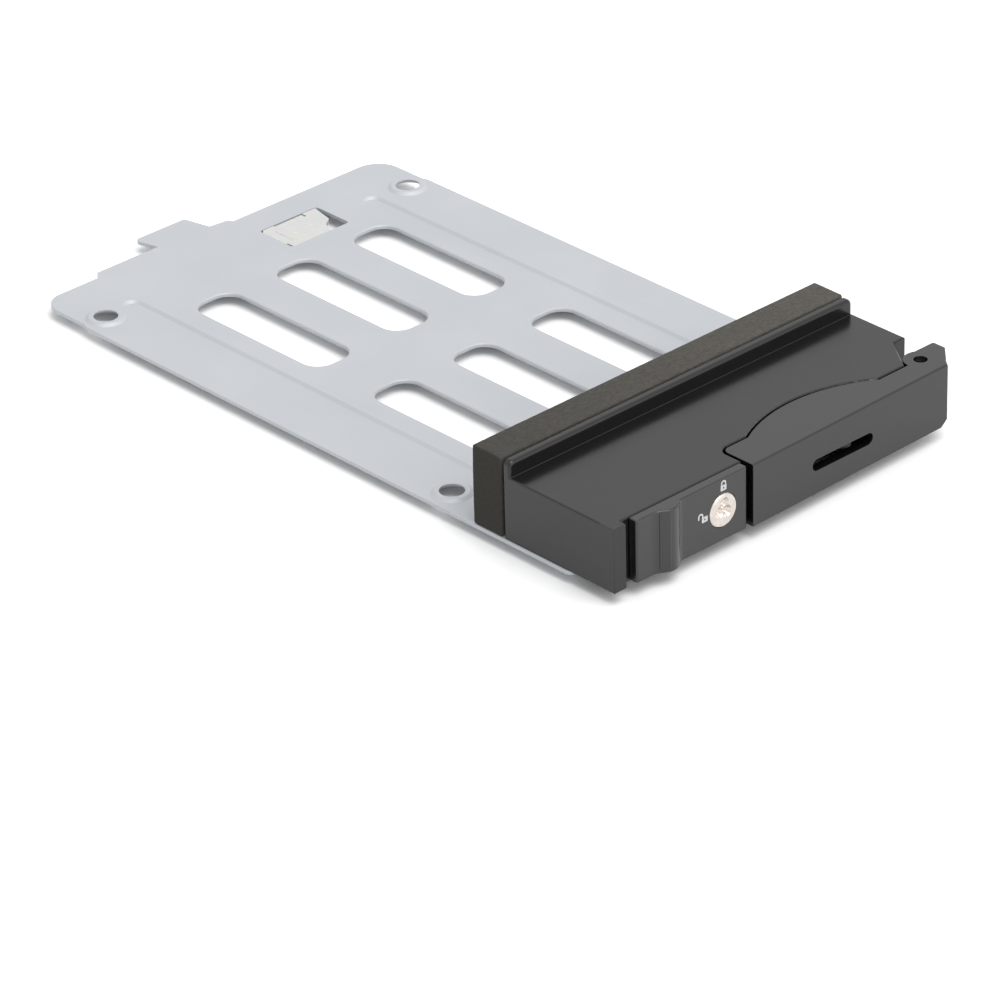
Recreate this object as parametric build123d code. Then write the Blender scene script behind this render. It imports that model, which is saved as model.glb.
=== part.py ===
from build123d import *
import os
from math import cos, sin, radians, hypot

os.makedirs("parts", exist_ok=True)

# A drive caddy for 2.5 inch drives: a stamped tray with a moulded front that carries
# a swing lever and a sprung, lockable latch slider.
# Millimetres. X to the right seen from the front, Y to the rear, Z up.
# The origin is the centre of the four drive screw holes, on the plane the drive sits on.

# How far cutters run past a face, and how deep joined shapes bite into each other
overcut = 1.00
bite = 0.10

# Gap between fixed pieces, radial gap of a fixed round fit, and room past a screw's end
seat_gap = 0.02
fixed_fit = 0.01
end_gap = 0.20
head_round = 0.50

# Drive screw pattern of the 2.5 inch drive standard
hole_pitch_x = 61.72
hole_pitch_y = 76.60
drive_hole_r = 1.90
dimple_rise = 0.40
dimple_top_r = 2.60
dimple_foot_r = 3.15
countersink_r = 2.90
countersink_depth = 0.75

# Tray sheet, laid out from the drive holes
sheet = 0.60
plate_top = -dimple_rise
plate_bottom = plate_top - sheet
edge_margin = 3.99
plate_offset_x = 0.05
plate_left = plate_offset_x - hole_pitch_x / 2 - edge_margin
plate_right = plate_offset_x + hole_pitch_x / 2 + edge_margin
rear_margin = 11.00
rear_left_y = hole_pitch_y / 2 + rear_margin
rear_middle_step = 1.45
rear_middle_y = rear_left_y + rear_middle_step
rear_right_step = 0.25
rear_right_y = rear_left_y - rear_right_step
corner_r_left = 3.60
corner_r_right = 4.20
tip_r = 1.20
lead_in = 0.35
lead_in_len = 1.05
lead_in_back = 11.30
lead_in_y = rear_left_y - lead_in_back
edge_roll = 0.15

# Rear tab, the step left of it and the notch right of it
tab_left = -11.10
tab_w = 10.10
tab_right = tab_left + tab_w
tab_len = 5.80
tab_y = rear_left_y + tab_len
tab_corner_r = 0.70
tab_flank = 1.10
step_back = 12.20
step_x = tab_left - step_back
step_run = 1.10
notch_step = 1.00
notch_y = rear_left_y + notch_step
notch_run = 3.20
notch_drop = 0.40
notch_heel = 0.60

# Cooling slots
slot_w = 8.00
slot_len = 28.90
slot_corner_r = 2.95
slot_pitch = 15.90
slot_centre_x = 0.20
slot_margin = 17.40
slot_rear_end = rear_left_y - slot_margin
slot_row_gap = 10.80

# Foam strip, laid out from the front drive holes
foam_clear = 8.60
foam_depth = 5.80
foam_rear = -hole_pitch_y / 2 - foam_clear
foam_front = foam_rear - foam_depth
foam_edge_r = 0.20
foam_lift = 0.10

# Stiffening beads
bead_w = 3.30
bead_depth = 0.40
bead_draft = 50.0
bead_left_in = 5.61
bead_right_in = 7.06
bead_left_x = -hole_pitch_x / 2 + bead_left_in
bead_right_x = hole_pitch_x / 2 - bead_right_in
bead_rear_margin = 9.00
bead_rear_end = rear_left_y - bead_rear_margin
bead_front_margin = 4.90
bead_front_end = foam_rear + bead_front_margin

# Clip window
window_left = 4.40
window_w = 11.85
window_margin = 5.80
window_depth = 7.70
window_front = rear_left_y - window_margin - window_depth
window_corner_r = 0.60

# Housing
wall = 1.60
tape_gap = 0.60
house_depth = 20.60
house_rear = foam_front - tape_gap
deck_front = house_rear - house_depth
house_left_in = 0.20
house_left = plate_left + house_left_in
house_right_in = 0.63
house_right = plate_right - house_right_in
cheek_t = 2.30
cheek_right = house_left + cheek_t
cheek_proud = 1.20
cheek_front = deck_front - cheek_proud
deck_h = 10.10
deck_top = plate_top + deck_h
roof = deck_top - wall
flange_t = 1.20
flange_rise = 2.50
flange_top = deck_top + flange_rise
flange_corner_r = 0.90
flange_edge_r = 0.55
pocket_back = 11.70
pocket_rear_y = house_rear - pocket_back
pocket_in = 2.40
pocket_x = house_right - pocket_in
house_edge_r = 0.25

# Front end of the tray, under the housing
nose_back = 2.70
nose_y = deck_front + nose_back
shoulder_back = 7.20
shoulder_y = deck_front + shoulder_back
nose_left_in = 4.40
nose_left = plate_left + nose_left_in
nose_right_in = 6.50
nose_right = plate_right - nose_right_in

# Foam strip's width and height, and its tape
foam_left_out = 0.10
foam_left = house_left - foam_left_out
foam_right_in = 0.10
foam_right = house_right - foam_right_in
foam_proud = 0.12
foam_top = flange_top + foam_proud
tape_face_gap = 0.05
tape_front = house_rear + seat_gap
tape_rear = foam_front - tape_face_gap
tape_margin = 0.60
tape_top = flange_top - tape_margin
tape_low = 0.80
tape_bottom = plate_top + tape_low
tape_inset = 1.20

# Lever hinge
pin_in = 3.40
pin_x = house_right - pin_in
pin_back = 2.65
pin_y = deck_front + pin_back
pin_r = 1.00
pin_fit = 0.05
pin_sink = 0.90
pin_top = deck_top - pin_sink
pin_chamfer = 0.20
pin_groove_r = 0.72
ring_r = 1.75
ring_t = 0.40
ring_up = 0.28
ring_mouth = 1.10
knuckle_r = 2.55
lug_up = 3.50
lug_bottom = plate_top + lug_up
lug_t = 2.80
lug_top = lug_bottom + lug_t
lug_r = 1.90
lug_angle = 120.0
lug_reach = 5.20
lug_gap = 0.15
knuckle_slot_r = 2.40
knuckle_slot_step = 0.75

# Room that the slider slides in, and where the lever starts
slide_travel = 1.50
slide_clear = 0.20
slider_left = cheek_right + slide_travel + slide_clear
slider_w = 21.65
slider_right = slider_left + slider_w
slider_lever_gap = 0.75

# Lever
lever_float = 0.20
lever_bottom = plate_top + lever_float
pin_drop = 0.80
pin_foot = lever_bottom - pin_drop
ring_z = pin_foot + ring_up
lever_left = slider_right + slider_lever_gap
lever_proud_left = 2.00
lever_front_left_y = deck_front - lever_proud_left
lever_proud_right = 1.20
lever_front_right_y = deck_front - lever_proud_right
lever_side_in = 0.65
lever_side_x = house_right - lever_side_in
lever_corner_in = 1.10
lever_front_right_x = lever_side_x - lever_corner_in
lever_corner_back = 1.40
lever_side_y = lever_front_right_y + lever_corner_back
lever_rear_y = pin_y
lever_heel_rise = 1.45
lever_heel_y = lever_rear_y + lever_heel_rise
lever_heel_r = 1.20
hump_left_in = 5.20
hump_left_x = lever_left + hump_left_in
hump_mid_in = 17.40
hump_mid_x = lever_left + hump_mid_in
hump_rise = 4.35
hump_mid_y = lever_rear_y + hump_rise
hump_right_in = 8.60
hump_right_x = pin_x - hump_right_in
lever_top_t = 2.00
lever_wall = 1.60
hinge_block_w = 5.40
lever_hollow_right = pin_x - hinge_block_w
lever_hollow_heel = 0.80
lever_rib_t = 1.00
lever_rib_left_in = 9.80
lever_rib_right_in = 12.80
lever_rib_x = (lever_left + lever_rib_left_in, pin_x - lever_rib_right_in)
lever_rib_root = 0.60
lever_rib_back = 1.00
lever_gap = 0.42
lever_toe_chamfer = 0.95
lever_edge_r = 0.30

# Claw at the lever's hinge end
claw_out = 2.35
claw_x = lever_side_x + claw_out
claw_back = 2.25
claw_rear_y = pin_y + claw_back
claw_fore = 0.05
claw_front_y = pin_y - claw_fore
claw_root = 1.20
claw_root_x = pin_x + claw_root
claw_bottom = lug_top + lug_gap
claw_bite = 1.00
claw_corner_r = 0.40
claw_angle = 60.0

# Finger slot in the lever's front
grip_slot_in = 18.50
grip_slot_x = lever_left + grip_slot_in
grip_slot_up = 4.50
grip_slot_z = lever_bottom + grip_slot_up
grip_slot_len = 12.60
grip_slot_h = 1.85
grip_slot_tilt = 1.0

# Catch strip on the lever
catch_t = 0.60
catch_h = 3.40
catch_up = 4.70
catch_z = lever_bottom + catch_up
catch_bottom = catch_z - catch_h / 2
catch_top = catch_z + catch_h / 2
catch_hook = 1.60
catch_tip_x = lever_left - catch_hook
catch_root = 5.80
catch_root_x = lever_left + catch_root
catch_back = 0.18
catch_front_y = deck_front + catch_back
catch_bevel = 0.55
catch_clear = 0.15
catch_room_x = 1.00
catch_room_y = 0.80
catch_room_z = 0.60
pad_root = 0.50
pad_margin = 1.00
rivet_r = 0.60
rivet_head_r = 1.05
rivet_head_t = 0.35
rivet_in = 2.70
rivet_pitch = 1.90
rivet_x = (lever_left + rivet_in, lever_left + rivet_in + rivet_pitch)
rivet_grip = 0.80
rivet_end_gap = 0.05

# Latch slider
run_gap = 0.15
slider_lift = 0.20
slider_bottom = plate_top + slider_lift
slider_sink = 0.08
slider_top = deck_top - slider_sink
slider_t = 1.40
slider_front = deck_front - run_gap - slider_t
slider_corner_r = 0.35

# Finger grip of the slider: how far along and how far out its bulge is at each point
grip_start_in = 2.75
grip_start = slider_left + grip_start_in
grip_rise_in = 3.95
grip_rise_out = 0.20
grip_brow_in = 5.45
grip_brow_out = 1.05
grip_peak_in = 6.05
grip_peak_out = 1.15
grip_turn_in = 6.65
grip_turn_out = 1.10
grip_flank_in = 7.90
grip_flank_out = 0.50
grip_end_in = 9.15
grip_end = slider_left + grip_end_in
grip_rim_r = 0.22
ridge_r = 0.20
ridge_in = (4.30, 5.50)
ridge_out = (0.32, 0.94)
ridge_foot = 0.60
ridge_head = 0.45

# Where the lock stands in the slider
lock_in = 4.80
lock_x = slider_right - lock_in

# Slider's posts, the keeper plate behind the wall and its screws
post_left_in = 4.35
post_lock_gap = 6.15
post_x = (slider_left + post_left_in, lock_x - post_lock_gap)
post_w = 3.00
post_h = 4.00
post_up = 4.60
post_z = slider_bottom + post_up
keeper_t = 0.80
keeper_corner_r = 0.80
keeper_gap = 0.12
keeper_left_out = 2.60
keeper_left = post_x[0] - keeper_left_out
keeper_right_out = 2.00
keeper_right = post_x[1] + keeper_right_out
keeper_drop = 3.00
keeper_bottom = post_z - keeper_drop
keeper_room = 0.60
keeper_top = roof - keeper_room
keeper_screw_r = 0.80
keeper_screw_head_r = 1.50
keeper_screw_head_t = 0.90
keeper_screw_len = 2.50

# Lock
lock_rise = 0.70
lock_z = (plate_top + roof) / 2 + lock_rise
lock_r = 2.60
lock_fit = 0.05
lock_proud = 0.15
lock_face_y = slider_front - lock_proud
lock_chamfer = 0.18
boss_r = 3.25
boss_room = 0.25
boss_back = 2.90
boss_rear = deck_front + boss_back
washer_r = 3.20
washer_t = 0.40
groove_gap = 0.05
lock_groove_r = 2.05
lock_groove_t = 0.55
lock_land = 0.40
lock_rear_y = boss_rear + washer_t + groove_gap + lock_groove_t + lock_land
circlip_r = 3.05
circlip_side_gap = 0.06
circlip_gap_deg = 70.0
key_lobe_r = 0.90
key_lobe_offset = 0.85
key_floor_r = 0.50
key_up = 0.25
key_turn = 80.0
key_depth = 0.75

# Cam on the lock's tail, the rib that stops it, and its screw
cam_t = 1.00
cam_room = 0.35
cam_len = roof - lock_z - cam_room
cam_tip_r = 1.10
cam_hub_r = 2.10
cam_square = 1.40
cam_screw_r = 0.42
cam_screw_len = 2.20
cam_screw_head_r = 1.50
cam_screw_head_t = 0.80
tail_hole_depth = 2.00
stop_rib_out = 3.15
stop_rib_x = lock_x - stop_rib_out
stop_rib_t = 1.20
stop_rib_up = 2.15
stop_rib_low = lock_z + stop_rib_up
stop_rib_fore = 0.25
stop_rib_front = lock_rear_y - stop_rib_fore
stop_rib_depth = 1.65
stop_rib_rear = stop_rib_front + stop_rib_depth

# Slider spring
spring_wire_r = 0.20
spring_r = 1.10
spring_turns = 6
spring_end_gap = 0.05
spring_seat_t = 1.65
spring_left = house_left + spring_seat_t
spring_seat_w = 4.00
spring_z = post_z
spring_back = 3.90
spring_y = deck_front + spring_back
spring_peg_r = 0.70
spring_peg_len = 1.30
tongue_t = 0.80
tongue_half = 1.60

# Housing screws
screw_fore = 5.70
screw_y = house_rear - screw_fore
screw_left_in = 7.50
screw_middle_in = 34.50
screw_right_in = 7.80
screw_x = (house_left + screw_left_in, house_left + screw_middle_in, house_right - screw_right_in)
screw_r = 0.90
screw_head_r = 1.90
screw_head_t = 0.50
screw_len = 5.60
boss_outer_r = 2.60
boss_hole_r = 0.92
recess_r = 0.90
recess_depth = 0.35
driver_slot_w = 0.40

# Window clip
clip_gap = 0.10
clip_left = window_left + clip_gap
clip_front = window_front + clip_gap
clip_rear = window_front + window_depth - clip_gap
clip_w = 8.90
clip_right = clip_left + clip_w
clip_sink = 0.06
clip_top = plate_top - clip_sink
clip_t = 0.75
clip_toe_in = 0.95
clip_toe_back = 2.20
clip_wing_out = 2.45
clip_wing_slant = 0.90
clip_wing_back = 3.20
clip_slit_t = 0.28
clip_slit_left_in = 2.70
clip_slit_right_in = 0.25
clip_notch_w = 0.40
clip_notch_depth = 1.10
clip_corner_cut = 0.65
clip_side_slit_t = 0.35
clip_side_slit_len = 1.45
clip_panel_in = 1.60
clip_panel_rise = 0.08
clip_panel_draft = 30.0
ear_out = 0.90
ear_root = 0.72
ear_w = 1.60
ear_t = 0.26
ear_rear_left_in = 1.75
ear_rear_right_out = 1.00
ear_front_left_in = 2.20
ear_front_right_in = 2.40


def block(x0, x1, y0, y1, z0, z1):
    """Upright box between two corners."""
    centre = Pos((x0 + x1) / 2, (y0 + y1) / 2, (z0 + z1) / 2)
    return centre * Box(x1 - x0, y1 - y0, z1 - z0)


def rod(x, y, z0, z1, radius):
    """Upright round bar."""
    return Pos(x, y, (z0 + z1) / 2) * Cylinder(radius, z1 - z0)


def rod_y(x, z, y0, y1, radius):
    """Round bar along Y."""
    return Pos(x, (y0 + y1) / 2, z) * Rot(90, 0, 0) * Cylinder(radius, y1 - y0)


def prism(points, z0, z1):
    """Extruded polygon between two heights."""
    face = make_face(Polyline(*points, close=True))
    return Pos(0, 0, z0) * extrude(face, z1 - z0)


def closed_face(corners, arcs):
    """Face through corners in order; arcs maps a corner index to the mid point of its next edge."""
    edges = []
    for i, start in enumerate(corners):
        end = corners[(i + 1) % len(corners)]
        edges.append(ThreePointArc(start, arcs[i], end) if i in arcs else Line(start, end))
    return make_face(edges)


def round_upright(solid, x, y, radius):
    """Round the upright edge nearest to a plan position."""
    def distance(edge):
        spot = edge.center()
        return hypot(spot.X - x, spot.Y - y)
    edge = min(solid.edges().filter_by(Axis.Z), key=distance)
    return fillet(edge, radius)


def round_head(head):
    """Round the rim of a screw or rivet head at its rear end."""
    height = head.bounding_box().size.Y
    return fillet(head.edges().sort_by(Axis.Y)[-1], height * head_round)


def grid_corners():
    """Plan positions of the four drive holes."""
    half_x, half_y = hole_pitch_x / 2, hole_pitch_y / 2
    return [(sx * half_x, sy * half_y) for sx in (-1, 1) for sy in (-1, 1)]


def plate_blank():
    """Outline of the tray with its rear tab, lead-in and narrow front nose."""
    tab_root = tab_right + tab_flank
    points = [
        (plate_left, shoulder_y), (nose_left, shoulder_y), (nose_left, nose_y),
        (nose_right, nose_y), (nose_right, shoulder_y), (plate_right, shoulder_y),
        (plate_right, lead_in_y), (plate_right - lead_in, lead_in_y + lead_in_len),
        (plate_right - lead_in, rear_right_y),
        (tab_root + notch_run + notch_heel, rear_right_y),
        (tab_root + notch_run, notch_y - notch_drop), (tab_root, notch_y),
        (tab_right, tab_y), (tab_left, tab_y), (tab_left + tab_flank, rear_middle_y),
        (step_x + step_run, rear_middle_y), (step_x, rear_left_y),
        (plate_left + lead_in, rear_left_y),
        (plate_left + lead_in, lead_in_y + lead_in_len), (plate_left, lead_in_y),
    ]
    blank = prism(points, plate_bottom, plate_top)
    rounds = [
        (plate_left + lead_in, rear_left_y, corner_r_left),
        (plate_right - lead_in, rear_right_y, corner_r_right),
        (plate_left, shoulder_y, tip_r), (plate_right, shoulder_y, tip_r),
        (tab_left, tab_y, tab_corner_r), (tab_right, tab_y, tab_corner_r),
    ]
    for x, y, radius in rounds:
        blank = round_upright(blank, x, y, radius)
    return blank


def slot_centres():
    """Plan centres of the six cooling slots."""
    rear = slot_rear_end - slot_len / 2
    front = rear - slot_len - slot_row_gap
    return [(slot_centre_x + i * slot_pitch, y) for i in (-1, 0, 1) for y in (rear, front)]


def slot_cutter(x, y):
    """Rounded slot with a rolled lip at the top face."""
    opening = RectangleRounded(slot_w, slot_len, slot_corner_r)
    cutter = Pos(x, y, plate_bottom - sheet) * extrude(opening, 3 * sheet)
    lip = RectangleRounded(slot_w + 2 * edge_roll, slot_len + 2 * edge_roll, slot_corner_r + edge_roll)
    throat = Pos(x, y, plate_top) * extrude(lip, -edge_roll, taper=45)
    return cutter + throat


def bead(x, top_z):
    """Tapered trough of a stiffening bead, from its mouth at top_z downwards."""
    length = bead_rear_end - bead_front_end
    centre_y = (bead_rear_end + bead_front_end) / 2
    mouth = Rot(0, 0, 90) * SlotOverall(length, bead_w)
    return Pos(x, centre_y, top_z) * extrude(mouth, -bead_depth, taper=bead_draft)


def dimple(x, y):
    """Raised boss round a drive hole."""
    return Pos(x, y, plate_top + dimple_rise / 2) * Cone(dimple_foot_r, dimple_top_r, dimple_rise)


def dimple_bore(x, y):
    """Countersink from below and the screw hole above it."""
    sink = Pos(x, y, plate_bottom + countersink_depth / 2)
    cone = sink * Cone(countersink_r, drive_hole_r, countersink_depth)
    return cone + rod(x, y, plate_bottom - sheet, dimple_rise, drive_hole_r)


def screw_seat(x):
    """Countersunk hole in the tray for a housing screw."""
    seat = Pos(x, screw_y, plate_bottom + screw_head_t / 2) * Cone(screw_head_r, screw_r, screw_head_t)
    return seat + rod(x, screw_y, plate_bottom - sheet, plate_top + sheet, boss_hole_r)


def tray_plate():
    """Stamped sheet with beads, dimples, slots, screw seats and the clip's window."""
    plate = plate_blank()
    for x in (bead_left_x, bead_right_x):
        plate += bead(x, plate_bottom)
        plate -= bead(x, plate_top)
    for x, y in slot_centres():
        plate -= slot_cutter(x, y)
    for x, y in grid_corners():
        plate += dimple(x, y)
        plate -= dimple_bore(x, y)
    for x in screw_x:
        plate -= screw_seat(x)
    window = RectangleRounded(window_w, window_depth, window_corner_r)
    middle = Pos(window_left + window_w / 2, window_front + window_depth / 2, plate_bottom - sheet)
    return plate - middle * extrude(window, 3 * sheet)


def clip_ear(x, y, side):
    """Leg of the clip that runs down the window's edge and out under the sheet."""
    ear_z = plate_bottom - seat_gap
    inner = y - side * ear_root
    low, high = sorted((inner, y + side * ear_out))
    foot = block(x - ear_w / 2, x + ear_w / 2, low, high, ear_z - ear_t, ear_z)
    low, high = sorted((inner, y))
    return foot + block(x - ear_w / 2, x + ear_w / 2, low, high, ear_z - ear_t, clip_top)


def clip_outline():
    """Plan of the clip: a broad body, a wing at the rear right, a slit and notched corners."""
    toe_x = clip_right - clip_toe_in
    wing_x = clip_right + clip_wing_out
    slit_left, slit_right = clip_left + clip_slit_left_in, clip_right - clip_slit_right_in
    slit_y = clip_rear - clip_slit_t
    side_x, side_y = clip_left + clip_side_slit_t, clip_front + clip_side_slit_len
    return [
        (side_x, clip_front), (toe_x, clip_front), (clip_right, clip_front + clip_toe_back),
        (wing_x - clip_wing_slant, clip_front + clip_wing_back), (wing_x, clip_rear),
        (slit_right, clip_rear), (slit_right, clip_rear - clip_notch_depth),
        (slit_right - clip_notch_w, clip_rear - clip_notch_depth), (slit_right - clip_notch_w, slit_y),
        (slit_left, slit_y), (slit_left, clip_rear), (clip_left + clip_corner_cut, clip_rear),
        (clip_left, clip_rear - clip_corner_cut), (clip_left, side_y), (side_x, side_y),
    ]


def window_clip():
    """Snap clip in the window, with a low raised panel and four ears that grip under the sheet."""
    body = prism(clip_outline(), clip_top - clip_t, clip_top)
    panel = Rectangle(clip_w - 2 * clip_panel_in, clip_rear - clip_front - 2 * clip_panel_in)
    middle = Pos(clip_left + clip_w / 2, (clip_front + clip_rear) / 2, clip_top)
    body += middle * extrude(panel, clip_panel_rise, taper=clip_panel_draft)
    for x in (clip_left + ear_front_left_in, clip_right - ear_front_right_in):
        body += clip_ear(x, clip_front, -1)
    for x in (clip_left + ear_rear_left_in, clip_right + ear_rear_right_out):
        body += clip_ear(x, clip_rear, 1)
    return body


def hump_edges(shift):
    """Curved rear edge of the lever, pushed outwards by shift."""
    left = (hump_left_x, lever_heel_y + shift)
    right = (hump_right_x, lever_rear_y + shift)
    return left, (hump_mid_x, hump_mid_y + shift), right


def pin_angle_point(angle, radius):
    """Point at an angle round the hinge pin."""
    return pin_x + radius * cos(radians(angle)), pin_y + radius * sin(radians(angle))


def front_line_y(x):
    """Front face of the lever, which stands a little oblique."""
    slope = (lever_front_right_y - lever_front_left_y) / (lever_front_right_x - lever_left)
    return lever_front_left_y + slope * (x - lever_left)


def lever_face():
    """Plan of the lever body without its claw."""
    hump_left, hump_top, hump_right = hump_edges(0)
    heel = (lever_left + lever_heel_r, lever_heel_y)
    heel_low = (lever_left, lever_heel_y - lever_heel_r)
    turn = lever_heel_r * (1 - cos(radians(45)))
    corners = [
        (lever_left, lever_front_left_y), (lever_front_right_x, lever_front_right_y),
        (lever_side_x, lever_side_y), (lever_side_x, pin_y),
        pin_angle_point(claw_angle, knuckle_r), (pin_x - knuckle_r, lever_rear_y),
        hump_right, hump_left, heel, heel_low,
    ]
    knuckle_mid = pin_angle_point((claw_angle + 180) / 2, knuckle_r)
    heel_mid = (lever_left + turn, lever_heel_y - turn)
    return closed_face(corners, {4: knuckle_mid, 6: hump_top, 8: heel_mid})


def claw():
    """Hook at the hinge end that bears on the chassis."""
    points = [
        (lever_front_right_x - claw_bite, lever_side_y), (lever_side_x, lever_side_y),
        (claw_x, claw_front_y), (claw_x, claw_rear_y), (claw_root_x, claw_rear_y),
        (pin_x, claw_rear_y), (pin_x, lever_side_y),
    ]
    hook = prism(points, claw_bottom, deck_top)
    return round_upright(hook, claw_x, claw_rear_y, claw_corner_r)


def lever_hollow():
    """Cored-out underside of the lever, left of the hinge block."""
    left = lever_left + lever_wall
    right = lever_hollow_right
    hump_left, hump_top, hump_right = hump_edges(-lever_wall)
    rear_right_x = min(hump_right[0], right)
    corners = [
        (left, front_line_y(left) + lever_wall), (right, front_line_y(right) + lever_wall),
        (right, hump_right[1]), (rear_right_x, hump_right[1]),
        (hump_left[0] + lever_hollow_heel, hump_left[1]), (left, hump_left[1]),
    ]
    low, high = lever_bottom - overcut, deck_top - lever_top_t
    return Pos(0, 0, low) * extrude(closed_face(corners, {3: hump_top}), high - low)


def finger_slot():
    """Narrow rounded slot through the lever's front wall."""
    opening = SlotOverall(grip_slot_len, grip_slot_h)
    y = front_line_y(grip_slot_x) + lever_wall / 2
    turned = Pos(grip_slot_x, y, grip_slot_z) * Rot(90, 0, 0) * Rot(0, 0, -grip_slot_tilt)
    return turned * extrude(opening, 2 * lever_wall, both=True)


def knuckle_slot():
    """Gap in the hinge end that clears the housing's lug."""
    low, high = lug_bottom - lug_gap, lug_top + lug_gap
    left, right = pin_x - knuckle_r - overcut, claw_x + overcut
    front, rear = pin_y - knuckle_slot_step, claw_rear_y + 2 * overcut
    return rod(pin_x, pin_y, low, high, knuckle_slot_r) + block(left, right, front, rear, low, high)


def catch_pad():
    """Inner pad of the front wall that carries the catch strip."""
    left = lever_left + lever_wall
    points = [
        (left, front_line_y(left) + pad_root), (catch_root_x, front_line_y(catch_root_x) + pad_root),
        (catch_root_x, catch_front_y - fixed_fit), (left, catch_front_y - fixed_fit),
    ]
    return prism(points, catch_bottom - pad_margin, catch_top + pad_margin)


def lever():
    """Swing handle: a cored body with a finger slot, a claw and a forked hinge end."""
    body = Pos(0, 0, lever_bottom) * extrude(lever_face(), deck_top - lever_bottom)
    low_edges = [e for e in body.faces().sort_by(Axis.Z)[0].edges() if e.center().Y < lever_side_y]
    toe = max(low_edges, key=lambda edge: edge.center().X)
    body = chamfer(toe, lever_toe_chamfer)
    top = body.faces().sort_by(Axis.Z)[-1]
    front_edges = [e for e in top.edges() if e.center().Y < lever_side_y]
    body = fillet(front_edges, lever_edge_r)
    body += claw()
    body -= lever_hollow()
    for x in lever_rib_x:
        body += block(x - lever_rib_t / 2, x + lever_rib_t / 2, front_line_y(x) + lever_rib_root,
                      lever_rear_y + lever_rib_back, lever_bottom, deck_top - lever_top_t + bite)
    body += catch_pad()
    body -= block(lever_left - overcut, lever_left + lever_wall + bite,
                  catch_front_y - catch_clear, catch_front_y + catch_t + catch_clear,
                  catch_bottom - catch_clear, catch_top + catch_clear)
    body -= knuckle_slot()
    body -= rod(pin_x, pin_y, lever_bottom - overcut, deck_top + overcut, pin_r + pin_fit)
    body -= finger_slot()
    for x in rivet_x:
        body -= rod_y(x, catch_z, catch_front_y - rivet_grip, catch_front_y, rivet_r)
    return body


def lever_catch():
    """Spring steel strip whose bevelled tip hooks behind the slider."""
    rear = catch_front_y + catch_t
    strip = block(catch_tip_x, catch_root_x, catch_front_y, rear, catch_bottom, catch_top)
    strip -= prism(
        [(catch_tip_x - bite, rear + bite), (catch_tip_x + 2 * catch_bevel, rear + bite),
         (catch_tip_x - bite, rear - catch_bevel)], catch_bottom - overcut, catch_top + overcut)
    for x in rivet_x:
        strip -= rod_y(x, catch_z, catch_front_y - overcut, rear + overcut, rivet_r)
    return strip


def catch_rivets():
    """Two round-head rivets that hold the strip to the lever."""
    start = catch_front_y - rivet_grip + rivet_end_gap
    rear = catch_front_y + catch_t
    rivets = []
    for x in rivet_x:
        shank = rod_y(x, catch_z, start, rear, rivet_r - fixed_fit)
        head = round_head(rod_y(x, catch_z, rear, rear + rivet_head_t, rivet_head_r))
        rivets.append(shank + head)
    return Compound(children=rivets)


def pocket_start():
    """Foot of the slanted pocket wall beside the hinge."""
    return pin_x - knuckle_r - lever_gap, lever_rear_y + lever_gap


def house_face(inset):
    """Plan of the housing; inset shrinks it evenly to give the inner core."""
    left_seam = lever_left - lever_gap
    hump_left, hump_top, hump_right = hump_edges(lever_gap + inset)
    turn = (lever_heel_r + lever_gap) * (1 - cos(radians(45)))
    rear = lever_heel_y + lever_gap + inset
    heel_out = lever_heel_r + lever_gap
    foot_x, foot_y = pocket_start()
    slant = hypot(pocket_x - foot_x, pocket_rear_y - foot_y)
    push_x = inset * (pocket_rear_y - foot_y) / slant
    if inset == 0:
        corners = [(house_left, cheek_front), (cheek_right, cheek_front), (cheek_right, deck_front)]
    else:
        corners = [(house_left + inset, deck_front + inset)]
    corners += [
        (left_seam - inset, deck_front + inset), (left_seam - inset, rear - heel_out),
        (left_seam + heel_out - inset, rear), hump_left, hump_right,
        (foot_x - push_x, foot_y + inset), (pocket_x - push_x, pocket_rear_y + inset),
        (house_right - inset, pocket_rear_y + inset), (house_right - inset, house_rear - inset),
        (house_left + inset, house_rear - inset),
    ]
    first = 4 if inset == 0 else 2
    heel_mid = (left_seam + turn - inset, rear - turn)
    return closed_face(corners, {first: heel_mid, first + 2: hump_top})


def hinge_lug():
    """Tongue of the housing that holds the hinge pin between the lever's ears."""
    dx, dy = cos(radians(lug_angle)), sin(radians(lug_angle))
    ox, oy = -dy * lug_r, dx * lug_r
    end_x, end_y = pin_x + dx * lug_reach, pin_y + dy * lug_reach
    arm = prism([(pin_x + ox, pin_y + oy), (pin_x - ox, pin_y - oy),
                 (end_x - ox, end_y - oy), (end_x + ox, end_y + oy)], lug_bottom, lug_top)
    return arm + rod(pin_x, pin_y, lug_bottom, lug_top, lug_r)


def slider_openings():
    """Slots in the inner front wall for the slider's posts and lock boss."""
    front, rear = deck_front - wall, deck_front + 2 * wall
    reach = slide_travel + 2 * run_gap
    low, high = post_z - post_h / 2 - run_gap, post_z + post_h / 2 + run_gap
    radius = boss_r + boss_room
    cut = rod_y(lock_x, lock_z, front, rear, radius)
    cut += rod_y(lock_x - reach, lock_z, front, rear, radius)
    cut += block(lock_x - reach, lock_x, front, rear, lock_z - radius, lock_z + radius)
    for x in post_x:
        cut += block(x - post_w / 2 - reach, x + post_w / 2 + run_gap, front, rear, low, high)
    return cut


def catch_recess():
    """Room behind the slider's end for the lever's catch strip."""
    rear = catch_front_y + catch_t + catch_room_y
    return block(catch_tip_x - catch_room_x, lever_left, deck_front - overcut, rear,
                 catch_bottom - catch_room_z, catch_top + catch_room_z)


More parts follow.
